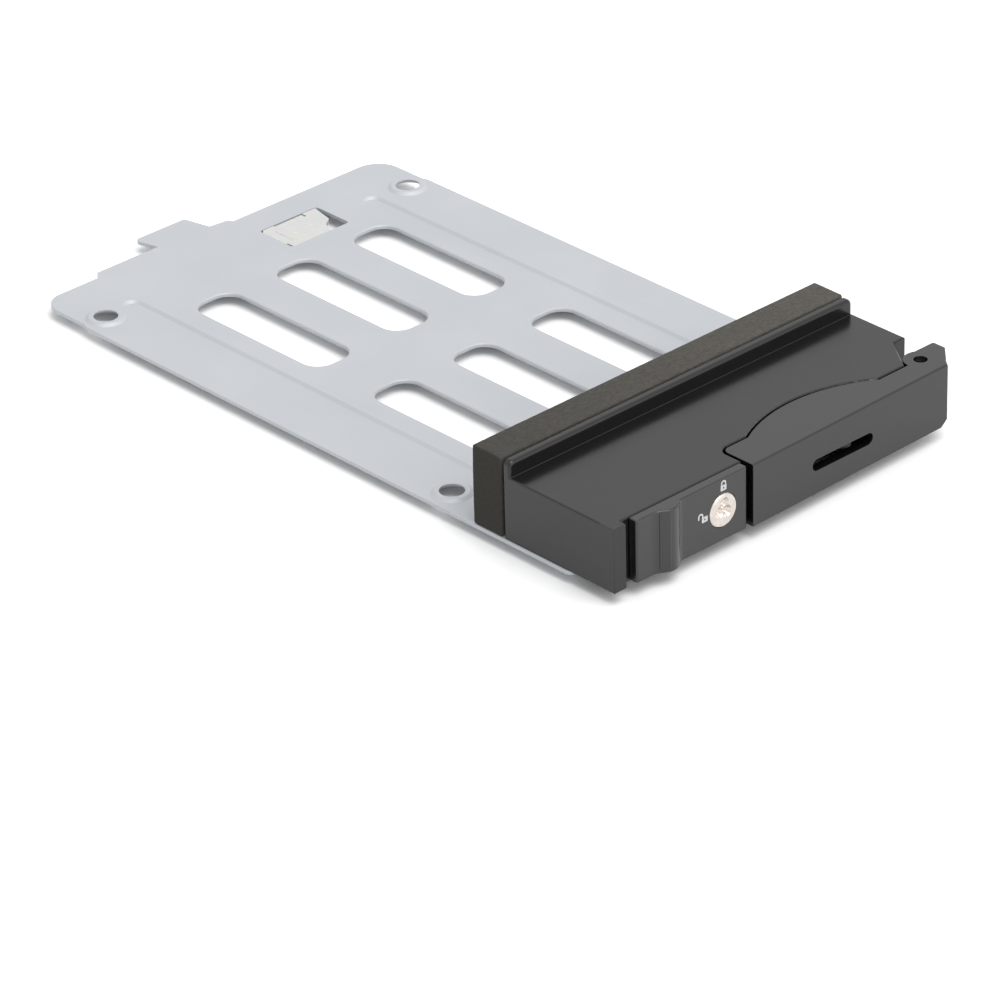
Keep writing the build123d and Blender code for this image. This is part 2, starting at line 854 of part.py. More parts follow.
def flange():
    """Upright rear flange with rounded shoulders."""
    plate = block(house_left, house_right, house_rear - flange_t, house_rear, plate_top, flange_top)
    shoulders = plate.edges().filter_by(Axis.Y).filter_by_position(
        Axis.Z, flange_top - bite, flange_top + bite)
    plate = fillet(shoulders, flange_corner_r)
    front = plate.faces().sort_by(Axis.Y)[0]
    rim = [e for e in front.edges() if e.center().Z > plate_top + bite]
    return fillet(rim, flange_edge_r)


def spring_seat():
    """Block and peg inside the left wall that the slider's spring bears on."""
    half = spring_seat_w / 2
    seat = block(house_left + wall - bite, spring_left, spring_y - half, spring_y + half,
                 plate_top, roof + bite)
    peg = Pos(spring_left + spring_peg_len / 2, spring_y, spring_z) * Rot(0, 90, 0)
    return seat + peg * Cylinder(spring_peg_r, spring_peg_len)


def housing():
    """Moulded front: a hollow deck with a rear flange, a left cheek and the hinge lug."""
    shell = Pos(0, 0, plate_top) * extrude(house_face(0), deck_h)
    outer = [e for e in shell.faces().sort_by(Axis.Z)[-1].edges() if e.center().Y < house_rear - wall / 2]
    shell = fillet(outer, house_edge_r)
    shell -= Pos(0, 0, plate_top - overcut) * extrude(house_face(wall), deck_h - wall + overcut)
    shell += block(house_left, cheek_right, cheek_front, deck_front + wall, plate_top, deck_top)
    shell += flange()
    for x in screw_x:
        shell += rod(x, screw_y, plate_top, roof + bite, boss_outer_r)
    shell += hinge_lug()
    shell += block(stop_rib_x - stop_rib_t, stop_rib_x, stop_rib_front, stop_rib_rear,
                   stop_rib_low, roof + bite)
    shell -= slider_openings()
    shell -= catch_recess()
    for x in screw_x:
        shell -= rod(x, screw_y, plate_top - overcut, plate_top + screw_len, boss_hole_r)
    shell += spring_seat()
    return shell - rod(pin_x, pin_y, lug_bottom - overcut, lug_top + overcut, pin_r)


def foam_strip():
    """Soft bar that the drive's front end presses on."""
    bar = block(foam_left, foam_right, foam_front, foam_rear, plate_top + foam_lift, foam_top)
    top = bar.edges().filter_by_position(Axis.Z, foam_top - bite, foam_top + bite)
    return fillet(top, foam_edge_r)


def foam_tape():
    """Double-sided tape between the foam and the flange."""
    left, right = foam_left + tape_inset, foam_right - tape_inset
    return block(left, right, tape_front, tape_rear, tape_bottom, tape_top)


def housing_screws():
    """Countersunk screws up through the tray into the housing bosses."""
    screws = []
    for x in screw_x:
        head = Pos(x, screw_y, plate_bottom + screw_head_t / 2) * Cone(screw_head_r, screw_r, screw_head_t)
        shank = rod(x, screw_y, plate_bottom + screw_head_t, plate_bottom + screw_len, screw_r)
        body = head + shank
        for turn in (0, 90):
            cross = Box(2 * recess_r, recess_r / 2, 2 * recess_depth)
            body -= Pos(x, screw_y, plate_bottom) * Rot(0, 0, turn) * cross
        screws.append(body)
    return Compound(children=screws)


def lever_pin():
    """Pin pressed in the housing lug, with a groove for its ring under the lever."""
    shank = rod(pin_x, pin_y, pin_foot, pin_top, pin_r)
    shank = chamfer(shank.edges().filter_by(GeomType.CIRCLE), pin_chamfer)
    low, high = ring_z - seat_gap, ring_z + ring_t + seat_gap
    groove = rod(pin_x, pin_y, low, high, pin_r + overcut) - rod(pin_x, pin_y, low, high, pin_groove_r)
    return shank - groove


def pin_ring():
    """Open retaining ring snapped in the pin's groove."""
    low, high = ring_z - overcut, ring_z + overcut
    ring = rod(pin_x, pin_y, ring_z, ring_z + ring_t, ring_r)
    ring -= rod(pin_x, pin_y, low, high, pin_groove_r + fixed_fit)
    half = ring_mouth / 2
    return ring - block(pin_x - half, pin_x + half, pin_y - 2 * ring_r, pin_y, low, high)


def grip_profile():
    """Plan of the slider's front plate with its bulging finger grip."""
    rear = slider_front + slider_t
    bulge = [
        (grip_rise_in, grip_rise_out), (grip_brow_in, grip_brow_out), (grip_peak_in, grip_peak_out),
        (grip_turn_in, grip_turn_out), (grip_flank_in, grip_flank_out),
    ]
    points = [(slider_left + along, slider_front - out) for along, out in bulge]
    start, end = (grip_start, slider_front), (grip_end, slider_front)
    edges = [
        Line((slider_left, rear), (slider_left, slider_front)),
        Line((slider_left, slider_front), start),
        Spline(start, *points, end, tangents=((1, 0), (1, 0))),
        Line(end, (slider_right, slider_front)),
        Line((slider_right, slider_front), (slider_right, rear)),
        Line((slider_right, rear), (slider_left, rear)),
    ]
    return make_face(edges)


def latch_slider():
    """Front plate with a ridged finger grip, two posts and a boss for the lock."""
    body = Pos(0, 0, slider_bottom) * extrude(grip_profile(), slider_top - slider_bottom)
    body = round_upright(body, slider_right, slider_front, slider_corner_r)
    body = round_upright(body, slider_left, slider_front, slider_corner_r)
    top = body.faces().sort_by(Axis.Z)[-1]
    body = fillet([e for e in top.edges() if e.center().Y < slider_front + bite], grip_rim_r)
    for along, out in zip(ridge_in, ridge_out):
        body += rod(slider_left + along, slider_front - out,
                    slider_bottom + ridge_foot, slider_top - ridge_head, ridge_r)
    rear = slider_front + slider_t
    post_end = deck_front + wall + keeper_gap
    for x in post_x:
        body += block(x - post_w / 2, x + post_w / 2, rear - bite, post_end,
                      post_z - post_h / 2, post_z + post_h / 2)
    body += rod_y(lock_x, lock_z, rear - bite, boss_rear, boss_r)
    body -= rod_y(lock_x, lock_z, slider_front - overcut, boss_rear + overcut, lock_r + lock_fit)
    for x in post_x:
        body -= rod_y(x, post_z, post_end - keeper_screw_len, post_end + overcut, keeper_screw_r)
    return body


def slider_keeper():
    """Steel plate behind the wall that ties the slider in, with a tongue for the spring."""
    front = deck_front + wall + keeper_gap
    plate = block(keeper_left, keeper_right, front, front + keeper_t, keeper_bottom, keeper_top)
    plate += block(keeper_left, keeper_left + tongue_t, front, spring_y + tongue_half,
                   spring_z - tongue_half, spring_z + tongue_half)
    right_edges = plate.edges().filter_by(Axis.Y).filter_by_position(
        Axis.X, keeper_right - bite, keeper_right + bite)
    plate = fillet(right_edges, keeper_corner_r)
    for x in post_x:
        plate -= rod_y(x, post_z, front - overcut, front + keeper_t + overcut, keeper_screw_r + bite)
    return plate


def keeper_screws():
    """Two pan-head screws through the keeper into the slider's posts."""
    post_end = deck_front + wall + keeper_gap
    seat = post_end + keeper_t
    screws = []
    for x in post_x:
        shank = rod_y(x, post_z, post_end - keeper_screw_len + end_gap, seat, keeper_screw_r - fixed_fit)
        head = round_head(rod_y(x, post_z, seat, seat + keeper_screw_head_t, keeper_screw_head_r))
        screw = shank + head
        for turn in (0, 90):
            cross = Box(2 * recess_r, 2 * recess_depth, driver_slot_w)
            screw -= Pos(x, seat + keeper_screw_head_t, post_z) * Rot(0, turn, 0) * cross
        screws.append(screw)
    return Compound(children=screws)


def slider_spring():
    """Compression coil between the housing and the keeper's tongue."""
    room = keeper_left - spring_left
    length = room - 2 * (spring_wire_r + spring_end_gap)
    path = Helix(pitch=length / spring_turns, height=length, radius=spring_r)
    wire = Plane(origin=path @ 0, z_dir=path % 0) * Circle(spring_wire_r)
    coil = sweep(wire, path=path)
    start = spring_left + spring_wire_r + spring_end_gap
    return Pos(start, spring_y, spring_z) * Rot(0, 90, 0) * coil


def key_recess():
    """Shallow three-lobed key hole with slanted walls in the lock's face."""
    cut = None
    for turn in (0, 120, 240):
        angle = radians(key_turn + turn)
        x = lock_x + key_lobe_offset * cos(angle)
        z = lock_z + key_up + key_lobe_offset * sin(angle)
        lobe = Rot(90, 0, 0) * Cone(key_floor_r, key_lobe_r, key_depth)
        lobe = Pos(x, lock_face_y + key_depth / 2, z) * lobe
        cut = lobe if cut is None else cut + lobe
    return cut


def lock_cylinder():
    """Turned lock plug with a clip groove and a square tail for the cam."""
    plug = rod_y(lock_x, lock_z, lock_face_y, lock_rear_y, lock_r)
    plug = chamfer(plug.edges().sort_by(Axis.Y)[0], lock_chamfer)
    groove_y = boss_rear + washer_t + groove_gap
    ring = rod_y(lock_x, lock_z, groove_y, groove_y + lock_groove_t, lock_r + overcut)
    plug -= ring - rod_y(lock_x, lock_z, groove_y - overcut, lock_rear_y, lock_groove_r)
    half = cam_square / 2
    plug += block(lock_x - half, lock_x + half, lock_rear_y - bite, lock_rear_y + cam_t,
                  lock_z - half, lock_z + half)
    plug -= rod_y(lock_x, lock_z, lock_rear_y - tail_hole_depth, lock_rear_y + cam_t + overcut, cam_screw_r)
    return plug - key_recess()


def lock_washer():
    """Plain washer between the slider's boss and the circlip."""
    ring = rod_y(lock_x, lock_z, boss_rear + seat_gap, boss_rear + washer_t, washer_r)
    return ring - rod_y(lock_x, lock_z, boss_rear - overcut, boss_rear + 2 * overcut, lock_r + lock_fit)


def lock_circlip():
    """Open retaining ring in the lock's groove."""
    start = boss_rear + washer_t + groove_gap + circlip_side_gap
    end = start + lock_groove_t - 2 * circlip_side_gap
    ring = rod_y(lock_x, lock_z, start, end, circlip_r)
    ring -= rod_y(lock_x, lock_z, start - overcut, end + overcut, lock_groove_r + fixed_fit)
    half = radians(circlip_gap_deg / 2)
    reach = circlip_r + overcut
    side, foot = reach * sin(half), reach * cos(half)
    mouth = prism([(0, 0), (side, -foot), (side, -reach), (-side, -reach), (-side, -foot)],
                  -2 * overcut, 2 * overcut)
    return ring - Pos(lock_x, start, lock_z) * Rot(90, 0, 0) * mouth


def lock_cam():
    """Flat cam on the lock's square tail."""
    thick = cam_t - 2 * seat_gap
    tip_y = cam_len - cam_tip_r
    arm = prism([(-cam_tip_r, 0), (cam_tip_r, 0), (cam_tip_r, tip_y), (-cam_tip_r, tip_y)], 0, thick)
    arm += rod(0, tip_y, 0, thick, cam_tip_r)
    arm += rod(0, 0, 0, thick, cam_hub_r)
    rear = lock_rear_y + cam_t - seat_gap
    cam = Pos(lock_x, rear, lock_z) * Rot(90, 0, 0) * arm
    square = cam_square + 2 * seat_gap
    return cam - Pos(lock_x, rear, lock_z) * Box(square, 3 * cam_t, square)


def cam_screw():
    """Small screw that holds the cam on the lock's tail."""
    face = lock_rear_y + cam_t + seat_gap
    head = round_head(rod_y(lock_x, lock_z, face, face + cam_screw_head_t, cam_screw_head_r))
    shank = rod_y(lock_x, lock_z, face - cam_screw_len, face, cam_screw_r - fixed_fit)
    slot = Box(2 * cam_screw_head_r + overcut, 2 * recess_depth, driver_slot_w)
    return head + shank - Pos(lock_x, face + cam_screw_head_t, lock_z) * slot


pieces = {
    "tray_plate": tray_plate, "window_clip": window_clip, "housing": housing,
    "foam_strip": foam_strip, "foam_tape": foam_tape, "housing_screws": housing_screws,
    "lever": lever, "lever_pin": lever_pin, "pin_ring": pin_ring,
    "lever_catch": lever_catch, "catch_rivets": catch_rivets,
    "latch_slider": latch_slider, "slider_keeper": slider_keeper, "keeper_screws": keeper_screws,
    "slider_spring": slider_spring, "lock_cylinder": lock_cylinder, "lock_washer": lock_washer,
    "lock_circlip": lock_circlip, "lock_cam": lock_cam, "cam_screw": cam_screw,
}
for name, make in pieces.items():
    export_step(make(), f"parts/{name}.step")
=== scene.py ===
"""Looks of a hot swap drive caddy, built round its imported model. Metres, in the model's frame."""
import math

import bpy
from mathutils import Matrix, Vector, noise


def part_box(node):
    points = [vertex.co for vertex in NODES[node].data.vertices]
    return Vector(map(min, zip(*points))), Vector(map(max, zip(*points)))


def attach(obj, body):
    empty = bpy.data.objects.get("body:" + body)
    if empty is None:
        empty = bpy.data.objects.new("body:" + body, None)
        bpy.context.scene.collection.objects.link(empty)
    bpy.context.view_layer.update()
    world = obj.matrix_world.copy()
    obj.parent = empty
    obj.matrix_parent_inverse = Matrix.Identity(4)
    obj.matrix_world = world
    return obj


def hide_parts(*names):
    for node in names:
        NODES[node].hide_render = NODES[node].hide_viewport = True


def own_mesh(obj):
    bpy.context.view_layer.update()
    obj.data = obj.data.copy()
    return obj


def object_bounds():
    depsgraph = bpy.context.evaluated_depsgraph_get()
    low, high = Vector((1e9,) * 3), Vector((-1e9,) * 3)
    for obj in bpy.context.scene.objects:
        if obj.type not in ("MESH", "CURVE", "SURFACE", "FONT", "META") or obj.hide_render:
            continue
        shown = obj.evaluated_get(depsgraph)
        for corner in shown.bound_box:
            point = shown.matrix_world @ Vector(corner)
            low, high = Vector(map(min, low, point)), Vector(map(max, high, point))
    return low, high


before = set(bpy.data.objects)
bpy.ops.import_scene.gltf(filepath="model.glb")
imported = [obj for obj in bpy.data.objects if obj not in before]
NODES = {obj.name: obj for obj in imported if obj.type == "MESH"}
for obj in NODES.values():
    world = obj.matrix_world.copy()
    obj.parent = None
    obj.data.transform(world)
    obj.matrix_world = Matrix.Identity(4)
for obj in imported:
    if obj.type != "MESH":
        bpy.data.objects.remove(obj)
cad_low, cad_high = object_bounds()

MM = 0.001

# Camera, fitted to the photograph: its angles in degrees, the point it looks at and how far off it stands
AZIMUTH = -42.632
ELEVATION = 29.470
ROLL = -1.472
AIM = Vector((-26.616, -43.687, -1.2)) * MM
DISTANCE = 798.11 * MM

# Its lens: sensor width in mm, focal length and picture width in pixels, and the range it sees in metres
SENSOR = 36.0
FOCAL_PIXELS = 5626.1
PHOTO_WIDTH = 1000.0
NEAREST = 0.01
FURTHEST = 50

# Finishes: the darkest and lightest tone, the tone of rubbed or cut edges, and the range of roughness
SHEET_TONES = ((0.575, 0.600, 0.630), (0.612, 0.632, 0.660))
SHEET_EDGE = (0.80, 0.81, 0.82)
SHEET_ROUGH = (0.56, 0.66)
SHELL_TONES = ((0.0045, 0.0045, 0.0048), (0.0075, 0.0073, 0.0075))
# The slider's black tones are a lighter copy of the housing's: painted light on its front
GRIP_TONES_PAINTED_LIGHT = ((0.0120, 0.0118, 0.0120), (0.0175, 0.0172, 0.0175))
BLACK_EDGE = (0.075, 0.074, 0.073)
BLACK_ROUGH = (0.18, 0.26)
CLIP_TONES = ((0.66, 0.66, 0.65), (0.75, 0.75, 0.74))
CLIP_EDGE = (0.90, 0.90, 0.89)
CLIP_ROUGH = (0.16, 0.30)
LOCK_TONES = ((0.70, 0.635, 0.58), (0.80, 0.75, 0.70))
LOCK_EDGE = (0.88, 0.84, 0.80)
LOCK_ROUGH = (0.20, 0.34)
SCREW_TONES = ((0.50, 0.50, 0.49), (0.66, 0.66, 0.64))
SCREW_ROUGH = (0.26, 0.42)
SPRING_TONES = ((0.34, 0.34, 0.35), (0.50, 0.50, 0.51))
SPRING_ROUGH = (0.24, 0.38)
PIN_TONES = ((0.22, 0.22, 0.225), (0.34, 0.34, 0.34))
PIN_ROUGH = (0.28, 0.42)
TAPE_TONES = ((0.004, 0.004, 0.004), (0.009, 0.009, 0.008))
TAPE_ROUGH = (0.75, 0.92)
INK_TONES = ((0.42, 0.42, 0.42), (0.76, 0.76, 0.76))
INK_ROUGH = (0.38, 0.52)
FOAM_DARK = ((0.073, 0.068, 0.059), (0.084, 0.079, 0.070))
FOAM_LIGHT = ((0.131, 0.123, 0.110), (0.155, 0.147, 0.134))
FOAM_ROUGH = (0.84, 0.96)

# How strongly the finishes reflect, and the sheet's share of metal
SHELL_IOR = 1.54
LEVER_IOR = 1.66
GRIP_IOR = 1.67
CLIP_IOR = 1.53
FOAM_SPECULAR = 0.20
TAPE_SPECULAR = 0.1
SHEET_METAL = 0.40

# Radius that the edges of the housing and of the two black pieces that move seem to have, and the spacing of
# the turning rings on the lock's face, in mm
SHELL_ROUND = 0.16
MOVING_ROUND = 0.08
LOCK_RING = 0.16

# Painted shade on the foam: its colour is painted darker towards the strip's left end and on its left face.
# The shade's colour, how much of it each place gets, where it starts and ends along the strip, and how far
# left a face must turn
FOAM_PAINTED_SHADE = (0.030, 0.028, 0.024)
FOAM_PAINTED_SHADE_END = 0.44
FOAM_PAINTED_SHADE_FACE = 0.30
FOAM_PAINTED_SHADE_FROM = -35 * MM
FOAM_PAINTED_SHADE_TO = 28 * MM
FOAM_LEFT_FULL = -0.8
FOAM_LEFT_START = -0.3

# Where most values of a noise lie, the samples of nodes that look round a point, and how open a point is
# where the wear of an edge starts and where it is full
NOISE_SPAN = (0.3, 0.7)
NEAR_SAMPLES = 8
WEAR_START = 0.95
WEAR_FULL = 0.55

# Foam mesh, in mm: cell size, edge radii, crown of its faces, depth of the wave, texture and pores, and how
# far its foot goes into what it lies on
FOAM_CELL = 0.33
FOAM_TOP_R = 0.28
FOAM_FOOT_R = 0.15
FOAM_CROWN = 0.04
FOAM_WAVE = 0.05
FOAM_TEXTURE = 0.035
FOAM_PORE = 0.05
FOAM_SINK = 0.05

# How often the wave, the texture and the pores repeat per mm, the level at which the wave's noise is read,
# the fine texture's share, and a pore's width as a share of its cell
FOAM_WAVE_ALONG = 0.09
FOAM_WAVE_ACROSS = 0.2
FOAM_WAVE_LEVEL = 3.1
FOAM_COARSE = 2.1
FOAM_FINE = 4.7
FOAM_FINE_SHARE = 0.6
FOAM_PORE_RATE = 1.5
FOAM_PORE_WIDTH = 0.22

# Padlock marks, in mm: body and its corners, line, key dot, height of the shackle's hub, how much narrower
# than the body the shackle is, how far it goes into the body, and an open shackle's short leg and shift
PADLOCK_W = 1.14
PADLOCK_BODY_H = 0.88
PADLOCK_CORNER = 0.12
PADLOCK_LINE = 0.25
PADLOCK_DOT_R = 0.15
PADLOCK_SHANK = 0.24
PADLOCK_INSET = 0.06
PADLOCK_OVERLAP = 0.02
PADLOCK_SHORT_LEG = 0.42
PADLOCK_SWING = -0.80

# Steps of a shackle's arc or a key dot, and of a body's corner
ARC_STEPS = 14
CORNER_STEPS = 5

# Where the marks' feet are from the lock's centre, the ink's thickness and how far it goes into the slider's
# face, and how far the lock stands out of that face, in mm
LOCKED_AT = (0.10, 3.11)
OPEN_AT = (-3.61, -0.45)
INK_T = 0.02
INK_SINK = 0.004
LOCK_PROUD = 0.15

# Floor: its tones in the light that it sends on, its level to the camera and in reflections, half its side in
# metres, and how far it lies under the tray's beads
FLOOR_TONES = ((0.78, 0.78, 0.78), (0.80, 0.80, 0.80))
FLOOR_WHITE = 1.27
FLOOR_MIRRORED = 1.17
FLOOR_HALF = 3.0
FLOOR_GAP = 1.20 * MM

# World: its strength on the object, and how much stronger it is from the right and weaker from the left.
# Lamps: strength, how wide they look in degrees, and the direction that they shine from
WORLD_LIGHT = 0.60
WORLD_LEAN = 0.22
KEY_STRENGTH = 1.20
KEY_ANGLE = 40.0
KEY_FROM = (-0.05, -0.40, 0.91)
FILL_STRENGTH = 0.60
FILL_ANGLE = 60.0
FILL_FROM = (0.15, -0.93, 0.33)


def make_camera():
    """Camera at the photograph's viewing angle."""
    azimuth, elevation, roll = (math.radians(angle) for angle in (AZIMUTH, ELEVATION, ROLL))
    reach = math.cos(elevation)
    back = Vector((math.sin(azimuth) * reach, -math.cos(azimuth) * reach, math.sin(elevation)))
    level = Vector((math.cos(azimuth), math.sin(azimuth), 0))
    upright = back.cross(level)
    right = level * math.cos(roll) + upright * math.sin(roll)
    up = upright * math.cos(roll) - level * math.sin(roll)
    data = bpy.data.cameras.new("camera")
    data.sensor_width = SENSOR
    data.lens = FOCAL_PIXELS / PHOTO_WIDTH * SENSOR
    data.clip_start, data.clip_end = NEAREST, FURTHEST
    camera = bpy.data.objects.new("camera", data)
    turned = Matrix((right, up, back)).transposed().to_4x4()
    camera.matrix_world = Matrix.Translation(AIM + back * DISTANCE) @ turned
    bpy.context.scene.collection.objects.link(camera)
    bpy.context.scene.camera = camera


def node(tree, kind, inputs=None, **settings):
    """Add a shader node; an input is a value or another node's output socket."""
    made = tree.nodes.new(kind)
    for key, value in settings.items():
        setattr(made, key, value)
    for key, value in (inputs or {}).items():
        if isinstance(value, bpy.types.NodeSocket):
            tree.links.new(value, made.inputs[key])
        else:
            made.inputs[key].default_value = value
    return made


def start_material(name):
    """New node material; returns it with its tree, its surface shader and object coordinates."""
    material = bpy.data.materials.new(name)
    material.use_nodes = True
    tree = material.node_tree
    coords = node(tree, "ShaderNodeTexCoord").outputs["Object"]
    return material, tree, tree.nodes["Principled BSDF"], coords


def surface(tree, shader, colour, rough, normal, levels=None):
    """Link the shader's colour, roughness and normal, and set the inputs that are the same all over."""
    for key, socket in (("Base Color", colour), ("Roughness", rough), ("Normal", normal)):
        tree.links.new(socket, shader.inputs[key])
    for key, level in (levels or {}).items():
        shader.inputs[key].default_value = level


def noise_of(tree, coords, size_mm, detail, roughness, stretch=None):
    """Noise whose blobs are about size_mm across; stretch lengthens them along the axes."""
    vector = coords
    if stretch:
        scale = tuple(1 / s for s in stretch)
        vector = node(tree, "ShaderNodeMapping", {"Vector": coords, "Scale": scale}).outputs["Vector"]
    made = node(tree, "ShaderNodeTexNoise", {
        "Vector": vector, "Scale": 1000 / size_mm, "Detail": detail, "Roughness": roughness})
    return made.outputs["Fac"]


def remap(tree, value, low, high, to_low=0.0, to_high=1.0):
    """Value between low and high, turned into to_low to to_high."""
    made = node(tree, "ShaderNodeMapRange", {
        "Value": value, "From Min": low, "From Max": high, "To Min": to_low, "To Max": to_high})
    return made.outputs["Result"]


def blend_colour(tree, factor, first, second):
    """Mix of two colours or colour sockets."""
    mix = tree.nodes.new("ShaderNodeMix")
    mix.data_type = "RGBA"
    for socket, value in zip((mix.inputs["Factor"], mix.inputs[6], mix.inputs[7]), (factor, first, second)):
        if isinstance(value, bpy.types.NodeSocket):
            tree.links.new(value, socket)
        else:
            socket.default_value = (*value, 1.0)
    return mix.outputs[2]


def maths(tree, operation, *values):
    """Result of a Math node for one or two numbers."""
    return node(tree, "ShaderNodeMath", dict(enumerate(values)), operation=operation).outputs["Value"]


def vector_maths(tree, operation, *values):
    """Outputs of a Vector Math node for one or two vectors."""
    return node(tree, "ShaderNodeVectorMath", dict(enumerate(values)), operation=operation).outputs


def plus(tree, first, second):
    """Sum of two numbers."""
    return maths(tree, "ADD", first, second)


def times(tree, first, second):
    """Product of two numbers."""
    return maths(tree, "MULTIPLY", first, second)


def soft_normal(tree, radius_mm):
    """Normal rounded at the edges."""
    return node(tree, "ShaderNodeBevel", {"Radius": radius_mm * MM}, samples=NEAR_SAMPLES).outputs["Normal"]


def edge_mask(tree, reach_mm):
    """How near a point is to an outer edge, 0 to 1."""
    inner = node(tree, "ShaderNodeAmbientOcclusion", {"Distance": reach_mm * MM},
                 samples=NEAR_SAMPLES, inside=True, only_local=True).outputs["AO"]
    return remap(tree, inner, WEAR_START, WEAR_FULL)


def rubbed(tree, body, bright, reach_mm, amount):
    """Body colour that turns partly into a brighter one at outer edges."""
    return blend_colour(tree, times(tree, edge_mask(tree, reach_mm), amount), body, bright)


def bump(tree, height, depth_mm, normal=None):
    """Bump from a height of 0 to 1 that is depth_mm deep."""
    inputs = {"Height": height, "Distance": depth_mm * MM, "Strength": 1.0}
    if normal is not None:
        inputs["Normal"] = normal
    return node(tree, "ShaderNodeBump", inputs).outputs["Normal"]


def sheet_material():
    """Zinc-plated steel sheet: fine grain, faint rolling lines, cloudy patches and bright cut edges."""
    material, tree, shader, coords = start_material("zinc_sheet")
    cloud = noise_of(tree, coords, size_mm=18, detail=3, roughness=0.5)
    rolling = noise_of(tree, coords, size_mm=0.45, detail=2, roughness=0.5, stretch=(1, 45, 1))
    grain = noise_of(tree, coords, size_mm=0.16, detail=2, roughness=0.6)
    tone = remap(tree, plus(tree, cloud, times(tree, rolling, 0.18)), 0.40, 0.80)
    colour = rubbed(tree, blend_colour(tree, tone, *SHEET_TONES), SHEET_EDGE, reach_mm=0.10, amount=0.35)
    rough = remap(tree, plus(tree, cloud, times(tree, grain, 0.5)), 0.5, 1.0, *SHEET_ROUGH)
    height = plus(tree, times(tree, grain, 0.6), times(tree, rolling, 0.4))
    normal = bump(tree, height, depth_mm=0.004, normal=soft_normal(tree, radius_mm=0.07))
    surface(tree, shader, colour, rough, normal, {"Metallic": SHEET_METAL})
    return material


def paint_material(name, tones, ior, round_mm):
    """Satin black finish of the moulded pieces: orange peel, fine specks and rubbed outer edges."""
    material, tree, shader, coords = start_material(name)
    peel = noise_of(tree, coords, size_mm=0.60, detail=2, roughness=0.5)
    speck = noise_of(tree, coords, size_mm=0.12, detail=2, roughness=0.6)
    patch = noise_of(tree, coords, size_mm=9, detail=3, roughness=0.6)
    fleck = blend_colour(tree, remap(tree, speck, 0.35, 0.70), *tones)
    wear = times(tree, remap(tree, patch, 0.45, 0.65), 0.25)
    colour = rubbed(tree, fleck, BLACK_EDGE, reach_mm=0.16, amount=wear)
    rough = remap(tree, plus(tree, patch, times(tree, speck, 0.6)), 0.5, 1.1, *BLACK_ROUGH)
    height = plus(tree, peel, times(tree, speck, 0.35))
    normal = bump(tree, height, depth_mm=0.004, normal=soft_normal(tree, round_mm))
    surface(tree, shader, colour, rough, normal, {"IOR": ior})
    return material


def foam_material():
    """Closed-cell foam, skived: fine soft speckle, short fibres along the strip and warm grey patches, with
    painted shade towards its left end and on its left face.
    """
    material, tree, shader, coords = start_material("foam")
    fibre = noise_of(tree, coords, size_mm=0.34, detail=3, roughness=0.6, stretch=(3.5, 1, 1))
    patch = noise_of(tree, coords, size_mm=6, detail=2, roughness=0.5)
    fine = noise_of(tree, coords, size_mm=0.26, detail=3, roughness=0.65)
    cells = noise_of(tree, coords, size_mm=0.55, detail=2, roughness=0.5)
    tone = plus(tree, plus(tree, fibre, fine), times(tree, cells, 0.7))
    dark, light = (blend_colour(tree, patch, *pair) for pair in (FOAM_DARK, FOAM_LIGHT))
    skived = blend_colour(tree, remap(tree, tone, 0.95, 1.75), dark, light)
    turned = node(tree, "ShaderNodeTexCoord").outputs["Normal"]
    across, facing = (node(tree, "ShaderNodeSeparateXYZ", {"Vector": vector}).outputs["X"]
                      for vector in (coords, turned))
    # Painted shade: darker towards the strip's left end and on faces that turn left
    painted_shade_left_end = remap(tree, across, FOAM_PAINTED_SHADE_FROM, FOAM_PAINTED_SHADE_TO, FOAM_PAINTED_SHADE_END, 0.0)
    painted_shade_left_face = remap(tree, facing, FOAM_LEFT_FULL, FOAM_LEFT_START, FOAM_PAINTED_SHADE_FACE, 0.0)
    colour = blend_colour(tree, plus(tree, painted_shade_left_end, painted_shade_left_face), skived, FOAM_PAINTED_SHADE)
    rough = remap(tree, fine, *NOISE_SPAN, *FOAM_ROUGH)
    surface(tree, shader, colour, rough, bump(tree, tone, depth_mm=0.05),
            {"Specular IOR Level": FOAM_SPECULAR})
    return material


def plastic_material():
    """Glossy natural nylon of the window clip, with sink marks and a milky depth."""
    material, tree, shader, coords = start_material("clip_nylon")
    cloud = noise_of(tree, coords, size_mm=3.5, detail=2, roughness=0.5)
    ripple = noise_of(tree, coords, size_mm=1.6, detail=1, roughness=0.4)
    colour = rubbed(tree, blend_colour(tree, cloud, *CLIP_TONES), CLIP_EDGE, reach_mm=0.2, amount=0.5)
    rough = remap(tree, cloud, *NOISE_SPAN, *CLIP_ROUGH)
    normal = bump(tree, ripple, depth_mm=0.06, normal=soft_normal(tree, radius_mm=0.15))
    surface(tree, shader, colour, rough, normal,
            {"Subsurface Weight": 0.25, "Subsurface Scale": 0.4 * MM, "IOR": CLIP_IOR})
    return material


def metal_material(name, tones, rough_span, grain_mm=0.2, depth_mm=0.004):
    """Plated or bare metal: mottled colour, rubbed edges and fine tool marks."""
    material, tree, shader, coords = start_material(name)
    cloud = noise_of(tree, coords, size_mm=1.8, detail=3, roughness=0.6)
    grain = noise_of(tree, coords, grain_mm, detail=2, roughness=0.6)
    body = blend_colour(tree, remap(tree, cloud, *NOISE_SPAN), *tones)
    bright = tuple(min(1.0, 1.25 * c + 0.05) for c in tones[1])
    colour = rubbed(tree, body, bright, reach_mm=0.12, amount=0.6)
    rough = remap(tree, plus(tree, cloud, grain), 0.7, 1.3, *rough_span)
    normal = bump(tree, grain, depth_mm, normal=soft_normal(tree, radius_mm=0.10))
    surface(tree, shader, colour, rough, normal, {"Metallic": 1.0})
    return material


